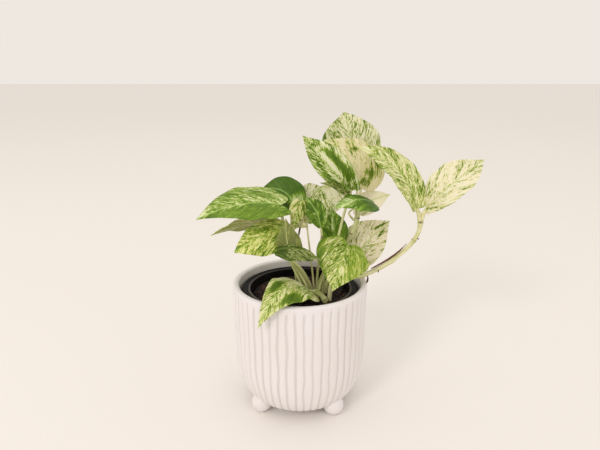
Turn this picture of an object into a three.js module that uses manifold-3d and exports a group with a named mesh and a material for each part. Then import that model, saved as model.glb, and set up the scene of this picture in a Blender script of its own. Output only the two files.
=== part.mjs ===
// A marble pothos in a black nursery pot, standing in a fluted ceramic cover pot on four ball feet.
// Millimetres, +Z up. The plant is laid out from the pots' axis, with heights measured from the cover
// pot's rim, and the finished group is moved so that its origin is the middle of its footprint.
import * as THREE from "three";
import { mergeVertices } from "three/addons/utils/BufferGeometryUtils.js";
import Module from "manifold-3d";

// Cover pot
const POT_HEIGHT = 118;
const POT_RADIUS = 62.5;
const POT_WALL = 6;
const POT_FLOOR = 7;
const POT_TAPER = 1;
const BELLY_HEIGHT = 48;
const UNDERSIDE_RADIUS = 43;
const UNDERSIDE_GAP = 8;
const LIP_ROUNDING = 2.6;
const FLUTE_COUNT = 50;
const FLUTE_DEPTH = 0.8;
const FLUTE_TOP_MARGIN = 4.5;
const FLUTE_RUN_OUT = 0.4;
const FOOT_COUNT = 4;
const FOOT_RADIUS = 9.5;
const FOOT_OVERHANG = 4;
const FOOT_FLAT = 0.7;
const FIRST_FOOT_DEGREES = 41;

// Nursery pot
const NURSERY_CLEARANCE = 1.6;
const NURSERY_DROP = 6.5;
const NURSERY_WALL = 1.4;
const NURSERY_LIP_HEIGHT = 6;
const NURSERY_LIP_WIDTH = 7;
const NURSERY_EDGE = 1;
const NURSERY_BASE_CLEARANCE = 1;
const NURSERY_REST_GAP = 0.3;
const DRAIN_RADIUS = 4;

// Soil
const SOIL_DROP = 14;
const SOIL_MOUND = 2.2;
const SOIL_GAP = 0.3;

// Plant
const LAYOUT_RADIUS = 62.5;
const FIT_GAP = 0.3;
const LEAF_THICKNESS = 0.8;
const LEAF_COLUMNS = 6;
const LEAF_ROWS = 8;
const HEART_BROADEST = 0.27;
const HEART_BASE = 0.62;
const HEART_LOBE = 0.2;
const LOBE_REACH = 0.5;
const LOBE_SWELL = 0.8;
const LOBE_RETURN = 0.75;
const TIP_EASE = 1.25;
const TIP_TAPER = 1.2;
const STALK_SIDES = 6;
const STALK_STEPS = 9;
const VINE_SIDES = 8;
const SOCKET_DEPTH = 7;
const STALK_TIP_GAP = 0.5;
const STALK_SETBACK = 2;

const ROUND_SEGMENTS = 48;
const BELLY_STEPS = 6;
const LIP_STEPS = 4;
const FOOT_SEGMENTS = 20;
const FOOT_STEPS = 7;
const SOIL_RINGS = 5;

const LOOKS = {
  ceramic: { color: 0xeee6df, roughness: 0.45 },
  plastic: { color: 0x17181a, roughness: 0.5 },
  soil: { color: 0x2c1d15, roughness: 1 },
  vine: { color: 0xb3b56a, roughness: 0.5 },
  bark: { color: 0x5b3320, roughness: 0.8 },
  green: { color: 0x4f8a22, roughness: 0.4 },
  marbled: { color: 0x9dba4c, roughness: 0.4 },
  cream: { color: 0xdad7a0, roughness: 0.4 },
  olive: { color: 0x8a8f45, roughness: 0.55 },
};

const wasm = await Module();
wasm.setup();

function solidFrom(geometry) {
  const bare = geometry.clone();
  bare.deleteAttribute("normal");
  bare.deleteAttribute("uv");
  const merged = mergeVertices(bare, 1e-4);
  return new wasm.Manifold(
    new wasm.Mesh({
      numProp: 3,
      vertProperties: new Float32Array(merged.attributes.position.array),
      triVerts: new Uint32Array(merged.index.array),
    }),
  );
}

function geometryFrom(solid) {
  const mesh = solid.getMesh();
  const geometry = new THREE.BufferGeometry();
  geometry.setAttribute("position", new THREE.BufferAttribute(mesh.vertProperties, mesh.numProp));
  geometry.setIndex(new THREE.BufferAttribute(mesh.triVerts, 1));
  geometry.computeVertexNormals();
  return geometry;
}

// Turns an [radius, height] profile that starts and ends on the axis about +Z.
function turned(profile, segments) {
  const points = profile.map(([radius, height]) => new THREE.Vector2(radius, height));
  return new THREE.LatheGeometry(points, segments).rotateX(Math.PI / 2);
}

const part = new THREE.Group();

function addMesh(name, geometry, look) {
  const mesh = new THREE.Mesh(geometry, new THREE.MeshStandardMaterial(look));
  mesh.name = name;
  part.add(mesh);
}

// ---------------------------------------------------------------- cover pot

const POT_INNER_RADIUS = POT_RADIUS - POT_WALL;
const BELLY_TOP = UNDERSIDE_GAP + BELLY_HEIGHT;
const BELLY_RADIUS = POT_RADIUS - POT_TAPER;
const INSIDE_FLOOR = UNDERSIDE_GAP + POT_FLOOR;
const INSIDE_FLOOR_RADIUS = UNDERSIDE_RADIUS - POT_WALL;
const FOOT_CIRCLE = UNDERSIDE_RADIUS + FOOT_OVERHANG;

// The wall's outline: a quarter ellipse from the underside to the belly, then a nearly straight side.
function bellyCurve(underRadius, underHeight, sideRadius, sideHeight) {
  const curve = [];
  for (let i = 0; i <= BELLY_STEPS; i += 1) {
    const angle = (i / BELLY_STEPS) * (Math.PI / 2);
    const radius = underRadius + (sideRadius - underRadius) * Math.sin(angle);
    const height = sideHeight - (sideHeight - underHeight) * Math.cos(angle);
    curve.push([radius, height]);
  }
  return curve;
}

function lipCurve() {
  const curve = [];
  const middle = POT_RADIUS - POT_WALL / 2;
  for (let i = 0; i <= LIP_STEPS; i += 1) {
    const angle = (i / LIP_STEPS) * Math.PI;
    const radius = middle + (POT_WALL / 2) * Math.cos(angle);
    const height = POT_HEIGHT - LIP_ROUNDING + LIP_ROUNDING * Math.sin(angle);
    curve.push([radius, height]);
  }
  return curve;
}

// Sinks each flute's edge into the wall, fading out below the plain lip and under the belly.
function carveFlutes(geometry) {
  const position = geometry.attributes.position;
  const fluteTop = POT_HEIGHT - FLUTE_TOP_MARGIN;
  for (let i = 0; i < position.count; i += 1) {
    const x = position.getX(i);
    const y = position.getY(i);
    const z = position.getZ(i);
    const radius = Math.hypot(x, y);
    const isOuter = radius > POT_INNER_RADIUS + POT_WALL / 2 || z < INSIDE_FLOOR;
    if (isOuter && z < fluteTop && radius > UNDERSIDE_RADIUS / 2) {
      const turn = (Math.atan2(y, x) / (2 * Math.PI)) * FLUTE_COUNT;
      const depth = FLUTE_DEPTH * (0.5 - 0.5 * Math.cos(2 * Math.PI * turn));
      const scale = (radius - depth) / radius;
      position.setXY(i, x * scale, y * scale);
    }
  }
  return geometry;
}

function coverPot() {
  const insideCurve = bellyCurve(INSIDE_FLOOR_RADIUS, INSIDE_FLOOR, BELLY_RADIUS - POT_WALL, BELLY_TOP);
  const lip = lipCurve();
  const fluteTop = POT_HEIGHT - FLUTE_TOP_MARGIN;
  const profile = [
    [0, UNDERSIDE_GAP],
    ...bellyCurve(UNDERSIDE_RADIUS, UNDERSIDE_GAP, BELLY_RADIUS, BELLY_TOP),
    [POT_RADIUS, fluteTop - FLUTE_RUN_OUT],
    [POT_RADIUS, fluteTop],
    ...lip,
    ...insideCurve.toReversed(),
    [0, INSIDE_FLOOR],
  ];
  const hollow = [[0, INSIDE_FLOOR], ...insideCurve, lip.at(-1), [0, lip.at(-1)[1]]];
  const cavity = solidFrom(turned(hollow, 2 * FLUTE_COUNT));
  let pot = solidFrom(carveFlutes(turned(profile, 2 * FLUTE_COUNT)));
  for (let i = 0; i < FOOT_COUNT; i += 1) {
    const angle = THREE.MathUtils.degToRad(FIRST_FOOT_DEGREES + (i * 360) / FOOT_COUNT);
    pot = pot.add(footSolid(angle).subtract(cavity));
  }
  return geometryFrom(pot);
}

// A ball foot with a small flat under it, sunk into the belly so that only its lower half shows.
function footSolid(angle) {
  const lowest = Math.acos(1 - FOOT_FLAT / FOOT_RADIUS);
  const profile = [[0, 0]];
  for (let i = 0; i <= FOOT_STEPS; i += 1) {
    const polar = lowest + ((Math.PI - lowest) * i) / FOOT_STEPS;
    const radius = i === FOOT_STEPS ? 0 : FOOT_RADIUS * Math.sin(polar);
    profile.push([radius, FOOT_RADIUS - FOOT_FLAT - FOOT_RADIUS * Math.cos(polar)]);
  }
  const foot = turned(profile, FOOT_SEGMENTS);
  foot.translate(FOOT_CIRCLE * Math.cos(angle), FOOT_CIRCLE * Math.sin(angle), 0);
  return solidFrom(foot);
}

// ---------------------------------------------------------------- nursery pot and soil

const NURSERY_TOP = POT_HEIGHT - NURSERY_DROP;
const NURSERY_BOTTOM = INSIDE_FLOOR + NURSERY_REST_GAP;
const NURSERY_BASE_RADIUS = INSIDE_FLOOR_RADIUS - NURSERY_BASE_CLEARANCE;
const NURSERY_LIP_RADIUS = POT_INNER_RADIUS - POT_TAPER - NURSERY_CLEARANCE;
const NURSERY_TOP_RADIUS = NURSERY_LIP_RADIUS - NURSERY_LIP_WIDTH;

function nurseryRadius(height) {
  const share = (height - NURSERY_BOTTOM) / (NURSERY_TOP - NURSERY_BOTTOM);
  return NURSERY_BASE_RADIUS + (NURSERY_TOP_RADIUS - NURSERY_BASE_RADIUS) * share;
}

function nurseryPot() {
  const under = NURSERY_TOP - NURSERY_LIP_HEIGHT;
  const inside = NURSERY_BOTTOM + NURSERY_WALL;
  const profile = [
    [DRAIN_RADIUS, NURSERY_BOTTOM],
    [NURSERY_BASE_RADIUS, NURSERY_BOTTOM],
    [nurseryRadius(under), under],
    [NURSERY_LIP_RADIUS, under],
    [NURSERY_LIP_RADIUS, NURSERY_TOP - NURSERY_EDGE],
    [NURSERY_LIP_RADIUS - NURSERY_EDGE, NURSERY_TOP],
    [NURSERY_TOP_RADIUS, NURSERY_TOP],
    [NURSERY_TOP_RADIUS - NURSERY_WALL, NURSERY_TOP - NURSERY_EDGE],
    [nurseryRadius(inside) - NURSERY_WALL, inside],
    [DRAIN_RADIUS, inside],
    [DRAIN_RADIUS, NURSERY_BOTTOM],
  ];
  return turned(profile, ROUND_SEGMENTS);
}

const SOIL_TOP = POT_HEIGHT - SOIL_DROP;

function soilSolid() {
  const bottom = NURSERY_BOTTOM + NURSERY_WALL + SOIL_GAP;
  const inset = NURSERY_WALL + SOIL_GAP;
  const edge = nurseryRadius(SOIL_TOP) - inset;
  const profile = [
    [0, bottom],
    [nurseryRadius(bottom) - inset, bottom],
  ];
  for (let i = 0; i <= SOIL_RINGS; i += 1) {
    const share = 1 - i / SOIL_RINGS;
    profile.push([edge * share, SOIL_TOP + SOIL_MOUND * (1 - share * share)]);
  }
  return solidFrom(turned(profile, ROUND_SEGMENTS));
}

// ---------------------------------------------------------------- stems

// A plant point in the part's frame. The plant spreads with the pot, so that it still clears the rims.
function atRim([x, y, height]) {
  const spread = POT_RADIUS / LAYOUT_RADIUS;
  return new THREE.Vector3(x * spread, y * spread, POT_HEIGHT + height);
}

function smoothPath(points) {
  return new THREE.CatmullRomCurve3(points, false, "centripetal");
}

// A round rod along a path, closed by a flat face at each end.
function rod(path, radius, sides, steps) {
  const section = new THREE.Shape();
  for (let i = 0; i < sides; i += 1) {
    const angle = (i / sides) * 2 * Math.PI;
    const x = radius * Math.cos(angle);
    const y = radius * Math.sin(angle);
    if (i === 0) {
      section.moveTo(x, y);
    } else {
      section.lineTo(x, y);
    }
  }
  section.closePath();
  return new THREE.ExtrudeGeometry(section, { steps, extrudePath: path });
}

// ---------------------------------------------------------------- leaves

// A quadratic midrib through base, middle and tip.
function midribOf(leaf) {
  const base = atRim(leaf.base);
  const tip = atRim(leaf.tip);
  const control = atRim(leaf.middle).multiplyScalar(2).sub(base.clone().add(tip).multiplyScalar(0.5));
  return new THREE.QuadraticBezierCurve3(base, control, tip);
}

// Half width of the blade at a share of its length, as a share of the broadest half width.
function outlineShare(along, baseShare, broadest) {
  if (along < broadest) {
    const back = (broadest - along) / broadest;
    return 1 - (1 - baseShare) * back * back;
  }
  const ahead = (along - broadest) / (1 - broadest);
  return Math.cos((Math.PI / 2) * ahead ** TIP_EASE) ** TIP_TAPER;
}

// How far a point near the base reaches back past the stalk, which makes the two rounded lobes.
function lobeShift(across, along, lobe) {
  if (along >= LOBE_REACH) {
    return 0;
  }
  const fade = (1 - along / LOBE_REACH) ** 2;
  const side = Math.abs(across);
  return lobe * fade * side ** LOBE_SWELL * (1 - LOBE_RETURN * side ** 3);
}

// The point of the blade's middle surface at across (-1 left edge, 1 right edge) and along (0 to 1).
function bladePoint(leaf, midrib, length, across, along) {
  const shifted = along - lobeShift(across, along, leaf.lobe ?? HEART_LOBE);
  const onRib = midrib.getPoint(Math.max(shifted, 0));
  const forward = midrib.getTangent(Math.max(shifted, 0));
  if (shifted < 0) {
    onRib.addScaledVector(forward, shifted * length);
  }
  const facing = new THREE.Vector3(...leaf.facing);
  const normal = facing.addScaledVector(forward, -facing.dot(forward)).normalize();
  const right = new THREE.Vector3().crossVectors(forward, normal);
  const side = across < 0 ? 0 : 1;
  const halfWidth = leaf.halfWidths[side];
  const share = outlineShare(along, leaf.baseShare ?? HEART_BASE, leaf.broadest ?? HEART_BROADEST);
  const distance = Math.abs(across) * halfWidth * share;
  const fold = THREE.MathUtils.degToRad(leaf.folds[side]);
  const bend = THREE.MathUtils.degToRad(leaf.droops[side]) / halfWidth;
  const lateral = bend === 0
    ? distance * Math.cos(fold)
    : (Math.sin(fold) - Math.sin(fold - bend * distance)) / bend;
  const lift = bend === 0
    ? distance * Math.sin(fold)
    : (Math.cos(fold - bend * distance) - Math.cos(fold)) / bend;
  const point = onRib.addScaledVector(right, (side === 0 ? -1 : 1) * lateral);
  return point.addScaledVector(normal, lift);
}

// A closed leaf blade: two skins over one grid, joined round the outline, and one point at the tip.
function bladeGeometry(leaf) {
  const midrib = midribOf(leaf);
  const length = midrib.getLength();
  const columns = LEAF_COLUMNS;
  const rows = LEAF_ROWS;
  const grid = [];
  for (let row = 0; row < rows; row += 1) {
    for (let column = 0; column <= columns; column += 1) {
      grid.push(bladePoint(leaf, midrib, length, (2 * column) / columns - 1, row / rows));
    }
  }
  const width = columns + 1;
  const at = (row, column) => row * width + column;
  const tip = midrib.getPoint(1);
  const normals = grid.map((_, index) => {
    const row = Math.floor(index / width);
    const column = index % width;
    const ahead = row + 1 < rows ? grid[at(row + 1, column)] : tip;
    const behind = grid[at(Math.max(row - 1, 0), column)];
    const right = grid[at(row, Math.min(column + 1, columns))];
    const left = grid[at(row, Math.max(column - 1, 0))];
    const across = right.clone().sub(left);
    return across.cross(ahead.clone().sub(behind)).normalize();
  });
  const positions = [];
  for (const side of [1, -1]) {
    grid.forEach((point, index) => {
      const skin = point.clone().addScaledVector(normals[index], (side * LEAF_THICKNESS) / 2);
      positions.push(skin.x, skin.y, skin.z);
    });
  }
  positions.push(tip.x, tip.y, tip.z);
  const under = rows * width;
  const tipIndex = 2 * under;
  const faces = [];
  const addTriangle = (a, b, c) => faces.push(a, b, c);
  const addQuad = (a, b, c, d) => {
    addTriangle(a, b, c);
    addTriangle(a, c, d);
  };
  for (let row = 0; row + 1 < rows; row += 1) {
    for (let column = 0; column < columns; column += 1) {
      const [a, b] = [at(row, column), at(row, column + 1)];
      const [c, d] = [at(row + 1, column + 1), at(row + 1, column)];
      addQuad(a, b, c, d);
      addQuad(under + d, under + c, under + b, under + a);
    }
    const [l0, l1] = [at(row, 0), at(row + 1, 0)];
    const [r0, r1] = [at(row, columns), at(row + 1, columns)];
    addQuad(l0, l1, under + l1, under + l0);
    addQuad(r1, r0, under + r0, under + r1);
  }
  for (let column = 0; column < columns; column += 1) {
    const [a, b] = [at(0, column), at(0, column + 1)];
    addQuad(b, a, under + a, under + b);
    const [c, d] = [at(rows - 1, column), at(rows - 1, column + 1)];
    addTriangle(c, d, tipIndex);
    addTriangle(under + d, under + c, tipIndex);
  }
  addTriangle(at(rows - 1, 0), tipIndex, under + at(rows - 1, 0));
  addTriangle(at(rows - 1, columns), under + at(rows - 1, columns), tipIndex);
  const geometry = new THREE.BufferGeometry();
  geometry.setAttribute("position", new THREE.Float32BufferAttribute(positions, 3));
  geometry.setIndex(faces);
  geometry.computeVertexNormals();
  return geometry;
}

// Each leaf: where its blade starts, passes and ends; the way its upper side faces; its left and right
// half widths, seen from above with the tip ahead; how far each half folds up at the midrib and then
// droops towards its edge, in degrees. A base is heart-shaped unless its share and lobe say otherwise.
// A stalk has a radius and the points it passes, from the soil or, where it has a start, from a vine.
const LEAVES = [
  {
    name: "left_long", look: LOOKS.green,
    base: [-17, -12, 75], middle: [-50, -27, 79], tip: [-85, -44, 70], facing: [0.1, -0.5, 0.85],
    halfWidths: [19, 22], folds: [6, 10], droops: [20, 25],
    stalk: { radius: 1.3, points: [[7, -6, -7], [-6, -8, 15], [-14, -7, 34], [-15, -5, 56]] },
  },
  {
    name: "left_dark", look: LOOKS.green,
    base: [-6, 4, 72], middle: [-17, 10, 83], tip: [-36, 18, 82], facing: [0.15, -0.9, 0.45],
    halfWidths: [15, 17], folds: [5, 5], droops: [25, 25],
    stalk: { radius: 1.2, points: [[10, -2, -7], [-3, 0, 14], [-8, 3, 43]] },
  },
  {
    name: "left_under", look: LOOKS.olive,
    base: [-18, 11, 49], middle: [-48, 5, 53], tip: [-81, -4, 44], facing: [0, 0.6, 0.8],
    halfWidths: [16, 18], folds: [8, 8], droops: [20, 20],
    stalk: { radius: 1.2, points: [[7, 2, -7], [-8, 7, 16], [-15, 11, 36]] },
  },
  {
    name: "left_bright", look: LOOKS.marbled,
    base: [-16, -16, 55], middle: [-37, -31, 50], tip: [-56, -37, 39], facing: [-0.15, -0.85, 0.5],
    halfWidths: [19, 14], folds: [5, 5], droops: [20, 30],
    stalk: { radius: 1.2, points: [[3, -11, -7], [-7, -13, 20], [-12, -14, 40]] },
  },
  {
    name: "left_upright", look: LOOKS.olive,
    base: [-8, -34, 36], middle: [-11, -37, 51], tip: [-12, -31, 68], facing: [0, 0.95, 0.3],
    halfWidths: [12, 10], folds: [12, 12], droops: [10, 10],
    stalk: { radius: 1.2, points: [[8, -12, -7], [-1, -11, 12], [-6, -22, 27]] },
  },
  {
    name: "shaded", look: LOOKS.olive,
    base: [-16, -43, 45], middle: [0, -44, 44], tip: [19.5, -38, 32], facing: [0.1, -0.45, 0.9],
    halfWidths: [5, 13], folds: [5, 5], droops: [20, 20],
    stalk: { radius: 1.1, points: [[11, -10, -7], [4, -20, 14], [-9, -38, 36]] },
  },
  {
    name: "hood", look: LOOKS.olive,
    base: [0, -6, 76], middle: [-2.5, -9, 66], tip: [-6, -10, 55], facing: [0.15, -0.9, 0.4],
    halfWidths: [8, 8], folds: [5, 5], droops: [25, 25],
    stalk: { radius: 0.9, points: [[-3, -2, -7], [-5, -4, 22], [0, 2, 50], [2, 1, 69]] },
  },
  {
    name: "speckled_small", look: LOOKS.cream,
    base: [6, -3, 57], middle: [1, -4, 61], tip: [-9, -5, 47], facing: [0, -1, 0.2],
    halfWidths: [10, 8], folds: [8, 8], droops: [10, 10],
    stalk: { radius: 0.9, points: [[13, 1, -7], [9, -1, 29], [7, -2, 46]] },
  },
  {
    name: "small_dark", look: LOOKS.green,
    base: [18.5, -8, 53], middle: [14, -12, 69], tip: [5, -13, 82], facing: [0, -1, 0.2],
    halfWidths: [9, 9], folds: [12, 12], droops: [10, 15], broadest: 0.48, baseShare: 0.25, lobe: 0.02,
    stalk: { radius: 0.9, points: [[21, -6, -7], [25, -6, 18], [21, -5, 38]] },
  },
  {
    name: "back_pale", look: LOOKS.cream,
    base: [20, 24, 83], middle: [20, 19, 68], tip: [20, 11, 52], facing: [0, -0.9, 0.45],
    halfWidths: [23, 26], folds: [10, 10], droops: [10, 15],
    stalk: { radius: 1.2, points: [[16, 5, -7], [18, 8, 22], [21, 14, 42], [26, 28, 66], [23, 31, 82]] },
  },
  {
    name: "centre_green", look: LOOKS.green,
    base: [32, 7, 36], middle: [31, 6, 51], tip: [29, 8, 66], facing: [0, -1, 0.2],
    halfWidths: [12, 13], folds: [8, 8], droops: [10, 10],
    stalk: { radius: 1.1, points: [[21, 4, -7], [27, 4, 17]] },
  },
  {
    name: "right_pale", look: LOOKS.cream,
    base: [50, 20, 13], middle: [67, 22, 33], tip: [86, 26, 50], facing: [0.1, -0.95, 0.3],
    halfWidths: [23, 19], folds: [8, 8], droops: [15, 15],
    stalk: { radius: 1.1, points: [[24, 7, -7], [38, 14, 5]] },
  },
  {
    name: "front_right", look: LOOKS.marbled,
    base: [43, -12, 38], middle: [36, -25, 27], tip: [28, -38, 4], facing: [0.05, -0.7, 0.7],
    halfWidths: [26, 25], folds: [0, 8], droops: [35, 25],
    stalk: { radius: 1.3, points: [[17, -13, -7], [24, -10, 14], [33, -6, 30], [41, -7, 37]] },
  },
  {
    name: "front_droop", look: LOOKS.marbled,
    base: [8, -24, 0], middle: [-14, -50, 12], tip: [-35, -64, -18], facing: [-0.2, -0.5, 0.85],
    halfWidths: [21, 19], folds: [0, 5], droops: [20, 30], broadest: 0.2,
    stalk: null,
  },
  {
    name: "top_striped", look: LOOKS.marbled,
    base: [43, 4, 86], middle: [22, -5, 110], tip: [2, -4, 134], facing: [-0.1, -0.9, 0.3],
    halfWidths: [12, 18], folds: [35, 35], droops: [15, 15], broadest: 0.45,
    stalk: { radius: 1.3, points: [[17, 0, -7], [27, 0, 19], [34, -4, 42], [41, 5, 66], [46, 10, 80]] },
  },
  {
    name: "top_folded", look: LOOKS.olive,
    base: [40.5, -4.5, 84.5], middle: [32, -13, 91], tip: [17, -15, 95], facing: [-0.2, -0.6, 0.8],
    halfWidths: [5, 5], folds: [20, 20], droops: [5, 5],
    stalk: { radius: 0.8, start: [49, 8.5, 66], points: [[48, 5, 71], [44.5, -1, 77]] },
  },
  {
    name: "middle_dark", look: LOOKS.green,
    base: [66, -1, 74], middle: [49, -14, 80], tip: [29, -22, 74], facing: [0, -0.5, 0.87],
    halfWidths: [13, 13], folds: [-5, -5], droops: [25, 25],
    stalk: { radius: 1.1, start: [57, 8, 60], points: [[64, 6, 67]] },
  },
  {
    name: "top_patched", look: LOOKS.cream,
    base: [54, 22, 85], middle: [46, 24, 107], tip: [22, 34, 126], facing: [0.1, -0.95, 0.3],
    halfWidths: [22, 29], folds: [5, 5], droops: [15, 20],
    stalk: { radius: 1.2, start: [52, 12.5, 76.5], points: [[52.5, 15, 79]] },
  },
  {
    name: "top_speckled", look: LOOKS.cream,
    base: [48, 34, 111], middle: [46, 42, 132], tip: [42, 56, 150], facing: [0, -0.8, 0.6],
    halfWidths: [27, 29], folds: [10, 10], droops: [15, 20], broadest: 0.22,
    stalk: { radius: 1.2, start: [54, 15.5, 70], points: [[58, 32, 90], [51, 36, 105]] },
  },
  {
    name: "back_white", look: LOOKS.cream,
    base: [52, 23, 64], middle: [68, 23, 71], tip: [85, 24, 76], facing: [0, -0.9, 0.4],
    halfWidths: [10, 12], folds: [10, 10], droops: [10, 10],
    stalk: { radius: 0.9, start: [50, 13, 54], points: [[46, 20, 59]] },
  },
  {
    name: "vine_left", look: LOOKS.marbled,
    base: [108.5, 12.5, 65.5], middle: [88, 8, 101], tip: [49, 6, 123.5], facing: [0.2, -0.75, 0.6],
    halfWidths: [14, 16], folds: [20, 20], droops: [20, 20], broadest: 0.4, baseShare: 0.5, lobe: 0.02,
    stalk: { radius: 1.4, start: [110.5, 12.5, 57], points: [[109.5, 12, 60]] },
  },
  {
    name: "vine_right", look: LOOKS.cream,
    base: [117, 14, 66], middle: [138, 7, 90], tip: [171, 27, 108.5], facing: [-0.2, -0.7, 0.7],
    halfWidths: [20, 16], folds: [15, 15], droops: [15, 15], broadest: 0.5, baseShare: 0.5, lobe: 0.02,
    stalk: { radius: 1.1, start: [114.5, 15, 57.5], points: [[115, 15.5, 60]] },
  },
];

// The stalk's path, from below the soil or beside its vine to just behind its blade.
function stalkPath(leaf) {
  const { radius, start, points } = leaf.stalk;
  const root = start ?? [points[0][0], points[0][1], -SOIL_DROP - SOCKET_DEPTH];
  const passed = points.map(atRim);
  const base = atRim(leaf.base);
  const arriving = base.clone().sub(passed.at(-1)).normalize();
  const end = base.addScaledVector(arriving, -(STALK_TIP_GAP + STALK_SETBACK * radius));
  return smoothPath([atRim(root), ...passed, end]);
}

function stalkRod(leaf, clearance) {
  return rod(stalkPath(leaf), leaf.stalk.radius + clearance, STALK_SIDES, STALK_STEPS);
}

// ---------------------------------------------------------------- vines

const VINES = [
  {
    name: "main_stem", radius: 2.8, steps: 5, look: LOOKS.vine,
    points: [[23, -23, -21], [23, -22, -13], [19, -20, -7], [12, -20, -2.5]],
  },
  {
    name: "runner_vine", radius: 2.3, steps: 20, look: LOOKS.vine,
    points: [
      [27, -17, -21], [27, -17, -8], [29, -16, 2], [37, -13, 6], [48, -9, 6], [57, -4, 5.5], [67, 2, 7],
      [80, 6, 12.5], [94, 10, 21.5], [103, 12, 29.5], [109, 13, 38], [112, 14, 46], [112.5, 14, 54],
    ],
  },
  {
    name: "upper_vine", radius: 2.2, steps: 12, look: LOOKS.vine,
    points: [[24, -1, -21], [24, -1, -8], [31, 8, 8], [39, 11, 24], [46, 10, 39], [51, 9, 50],
      [53, 10, 62], [52, 11, 74]],
  },
  {
    name: "dry_sheath", radius: 0.7, steps: 8, look: LOOKS.bark,
    points: [[66, 1, 10.4], [79, 5.5, 16], [91, 9, 23.3], [100, 11, 31.6]],
  },
];

function vineRod(vine, clearance) {
  return rod(smoothPath(vine.points.map(atRim)), vine.radius + clearance, VINE_SIDES, vine.steps);
}

// ---------------------------------------------------------------- assembly

let soil = soilSolid();
for (const vine of VINES) {
  soil = soil.subtract(solidFrom(vineRod(vine, FIT_GAP)));
}
for (const leaf of LEAVES) {
  if (leaf.stalk) {
    soil = soil.subtract(solidFrom(stalkRod(leaf, FIT_GAP)));
  }
}
addMesh("cover_pot", coverPot(), LOOKS.ceramic);
addMesh("nursery_pot", nurseryPot(), LOOKS.plastic);
addMesh("soil", geometryFrom(soil), LOOKS.soil);
for (const vine of VINES) {
  addMesh(vine.name, vineRod(vine, 0), vine.look);
}
for (const leaf of LEAVES) {
  if (leaf.stalk) {
    addMesh("stalk_" + leaf.name, stalkRod(leaf, 0), LOOKS.vine);
  }
  addMesh("leaf_" + leaf.name, bladeGeometry(leaf), leaf.look);
}

// The origin: the middle of the footprint of everything, at the height of the feet.
const extent = new THREE.Box3().setFromObject(part, true);
const middle = extent.getCenter(new THREE.Vector3());
part.position.set(-middle.x, -middle.y, -extent.min.z);

export default part;
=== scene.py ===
import math
import random

import bmesh
import bpy
from mathutils import Matrix, Vector, noise


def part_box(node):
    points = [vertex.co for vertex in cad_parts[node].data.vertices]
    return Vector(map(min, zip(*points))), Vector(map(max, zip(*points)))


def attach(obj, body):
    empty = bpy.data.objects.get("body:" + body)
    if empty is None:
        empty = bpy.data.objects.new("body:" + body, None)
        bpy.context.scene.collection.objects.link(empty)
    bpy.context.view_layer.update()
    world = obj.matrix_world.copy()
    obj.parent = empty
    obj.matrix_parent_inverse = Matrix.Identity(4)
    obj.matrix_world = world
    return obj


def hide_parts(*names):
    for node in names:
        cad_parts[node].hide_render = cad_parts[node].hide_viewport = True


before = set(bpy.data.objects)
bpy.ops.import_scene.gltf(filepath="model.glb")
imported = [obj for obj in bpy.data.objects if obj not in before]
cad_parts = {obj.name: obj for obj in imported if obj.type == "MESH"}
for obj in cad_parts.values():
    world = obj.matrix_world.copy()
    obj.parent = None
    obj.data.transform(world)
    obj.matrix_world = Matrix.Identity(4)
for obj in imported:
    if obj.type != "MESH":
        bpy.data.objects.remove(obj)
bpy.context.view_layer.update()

bl_info = {
    "name": "Marble pothos in a fluted pot",
    "version": (1, 0, 0),
    "blender": (4, 5, 0),
    "location": "3D View > Sidebar > Pothos",
    "description": "Makes a variegated pothos in a nursery pot inside a fluted ceramic cover pot",
    "category": "Object",
}

MM = 0.001
POT_LOW, POT_HIGH = (Vector(corner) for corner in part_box("cover_pot"))
NURSERY_LOW, NURSERY_HIGH = (Vector(corner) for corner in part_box("nursery_pot"))
SOIL_LOW, SOIL_HIGH = (Vector(corner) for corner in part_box("soil"))
AXIS = Vector(((POT_LOW.x + POT_HIGH.x) / 2, (POT_LOW.y + POT_HIGH.y) / 2, 0))
RIM = POT_HIGH.z
POT_RADIUS = (POT_HIGH.x - POT_LOW.x) / 2
NURSERY_RADIUS = (NURSERY_HIGH.x - NURSERY_LOW.x) / 2

# The cover pot's wall, floor, air gap underneath, belly, underside, rounded lip and plain band below it.
POT_WALL, POT_FLOOR, UNDERSIDE_GAP = 6 * MM, 7 * MM, 8 * MM
BELLY_HEIGHT, UNDERSIDE_RADIUS, POT_TAPER = 48 * MM, 43 * MM, 1 * MM
LIP_ROUNDING, FLUTE_TOP_MARGIN = 2.6 * MM, 4.5 * MM
# The ball feet: how many, ball radius, distance from the axis, height of the centre, first one's angle.
FOOT_COUNT, FOOT_RADIUS, FOOT_CIRCLE, FOOT_HEIGHT, FIRST_FOOT = 4, 9.5 * MM, 47 * MM, 8.8 * MM, 41
# The nursery pot's wall, drain hole and base; the soil below the rim and how much it rises in the middle.
NURSERY_WALL, DRAIN_RADIUS, NURSERY_BASE = 1.4 * MM, 4 * MM, 36 * MM
SOIL_DROP, SOIL_MOUND = 14 * MM, 2.0 * MM
# Stretch of a bark chip and of a crumb in three directions, as least and greatest shares of its size.
CHIP_SPANS = (1.2, 2.6), (0.5, 0.9), (0.3, 0.5)
CRUMB_SPANS = (0.8, 1.2), (0.8, 1.2), (0.6, 0.9)

# A side vein is VEIN_SLOPE x + VEIN_BEND x^2 further ahead where it is x mm out from the midrib.
VEIN_SLOPE, VEIN_BEND = 1.4, 0.03


# ---------------------------------------------------------------- the plant's layout

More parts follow.
